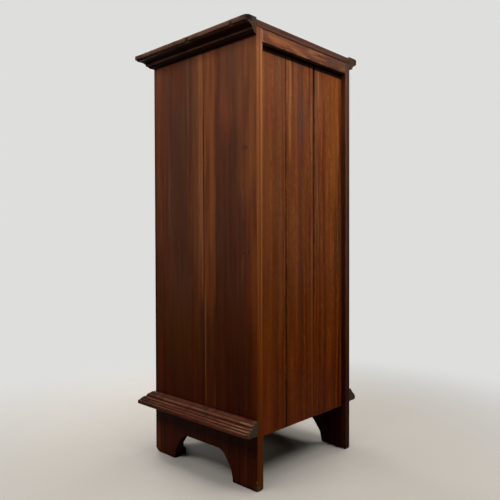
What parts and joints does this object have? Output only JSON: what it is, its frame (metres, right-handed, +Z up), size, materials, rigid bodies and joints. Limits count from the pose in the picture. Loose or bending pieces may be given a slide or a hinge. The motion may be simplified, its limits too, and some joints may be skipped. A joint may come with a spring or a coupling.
{
  "type": "semainier",
  "caption": "Tall narrow chest of sliding drawers on sawn bracket feet, with a moulded cornice and base and an open-jointed board back.",
  "frame": {"origin": "on the floor under the middle of the whole footprint, cornice included", "axes": "+Z up; the drawer fronts face -Y and slide out along -Y; the board back faces +Y; +X is the right-hand side seen from the front"},
  "size_m": [0.41, 0.377, 0.983],
  "materials": {
    "carcass_wood": "dark red-brown stained hardwood, satin polish",
    "back_wood": "warm brown stained boards, satin",
    "moulding_wood": "dark stained moulding, satin, worn arrises",
    "drawer_front_wood": "red-brown stained hardwood, satin polish",
    "inside_wood": "unpolished pale secondary wood",
    "knob_wood": "turned dark hardwood, polished"
  },
  "bodies": {
    "carcass": {"side_panel_left": "carcass_wood", "side_panel_right": "carcass_wood", "top_board": "carcass_wood", "back_top_rail": "back_wood", "back_board_1": "back_wood", "back_board_2": "back_wood", "back_board_3": "back_wood", "bottom_board": "inside_wood", "front_frame": "carcass_wood", "runner_rack_left": "inside_wood", "runner_rack_right": "inside_wood", "front_apron": "carcass_wood", "cornice_front": "moulding_wood", "cornice_left": "moulding_wood", "cornice_right": "moulding_wood", "base_moulding_front": "moulding_wood", "base_moulding_left": "moulding_wood", "base_moulding_right": "moulding_wood"},
    "drawer_1": {"drawer_1_front": "drawer_front_wood", "drawer_1_side_left": "inside_wood", "drawer_1_side_right": "inside_wood", "drawer_1_back": "inside_wood", "drawer_1_bottom": "inside_wood", "drawer_1_knob": "knob_wood"},
    "drawer_2": {"drawer_2_front": "drawer_front_wood", "drawer_2_side_left": "inside_wood", "drawer_2_side_right": "inside_wood", "drawer_2_back": "inside_wood", "drawer_2_bottom": "inside_wood", "drawer_2_knob": "knob_wood"},
    "drawer_3": {"drawer_3_front": "drawer_front_wood", "drawer_3_side_left": "inside_wood", "drawer_3_side_right": "inside_wood", "drawer_3_back": "inside_wood", "drawer_3_bottom": "inside_wood", "drawer_3_knob": "knob_wood"},
    "drawer_4": {"drawer_4_front": "drawer_front_wood", "drawer_4_side_left": "inside_wood", "drawer_4_side_right": "inside_wood", "drawer_4_back": "inside_wood", "drawer_4_bottom": "inside_wood", "drawer_4_knob": "knob_wood"},
    "drawer_5": {"drawer_5_front": "drawer_front_wood", "drawer_5_side_left": "inside_wood", "drawer_5_side_right": "inside_wood", "drawer_5_back": "inside_wood", "drawer_5_bottom": "inside_wood", "drawer_5_knob": "knob_wood"},
    "drawer_6": {"drawer_6_front": "drawer_front_wood", "drawer_6_side_left": "inside_wood", "drawer_6_side_right": "inside_wood", "drawer_6_back": "inside_wood", "drawer_6_bottom": "inside_wood", "drawer_6_knob": "knob_wood"},
    "drawer_7": {"drawer_7_front": "drawer_front_wood", "drawer_7_side_left": "inside_wood", "drawer_7_side_right": "inside_wood", "drawer_7_back": "inside_wood", "drawer_7_bottom": "inside_wood", "drawer_7_knob": "knob_wood"}
  },
  "joints": [
    {"name": "drawer_1_slide", "type": "slide", "parent": "carcass", "child": "drawer_1", "axis": [0, -1, 0], "range_m": [0, 0.24]},
    {"name": "drawer_2_slide", "type": "slide", "parent": "carcass", "child": "drawer_2", "axis": [0, -1, 0], "range_m": [0, 0.24]},
    {"name": "drawer_3_slide", "type": "slide", "parent": "carcass", "child": "drawer_3", "axis": [0, -1, 0], "range_m": [0, 0.24]},
    {"name": "drawer_4_slide", "type": "slide", "parent": "carcass", "child": "drawer_4", "axis": [0, -1, 0], "range_m": [0, 0.24]},
    {"name": "drawer_5_slide", "type": "slide", "parent": "carcass", "child": "drawer_5", "axis": [0, -1, 0], "range_m": [0, 0.24]},
    {"name": "drawer_6_slide", "type": "slide", "parent": "carcass", "child": "drawer_6", "axis": [0, -1, 0], "range_m": [0, 0.24]},
    {"name": "drawer_7_slide", "type": "slide", "parent": "carcass", "child": "drawer_7", "axis": [0, -1, 0], "range_m": [0, 0.24]}
  ]
}
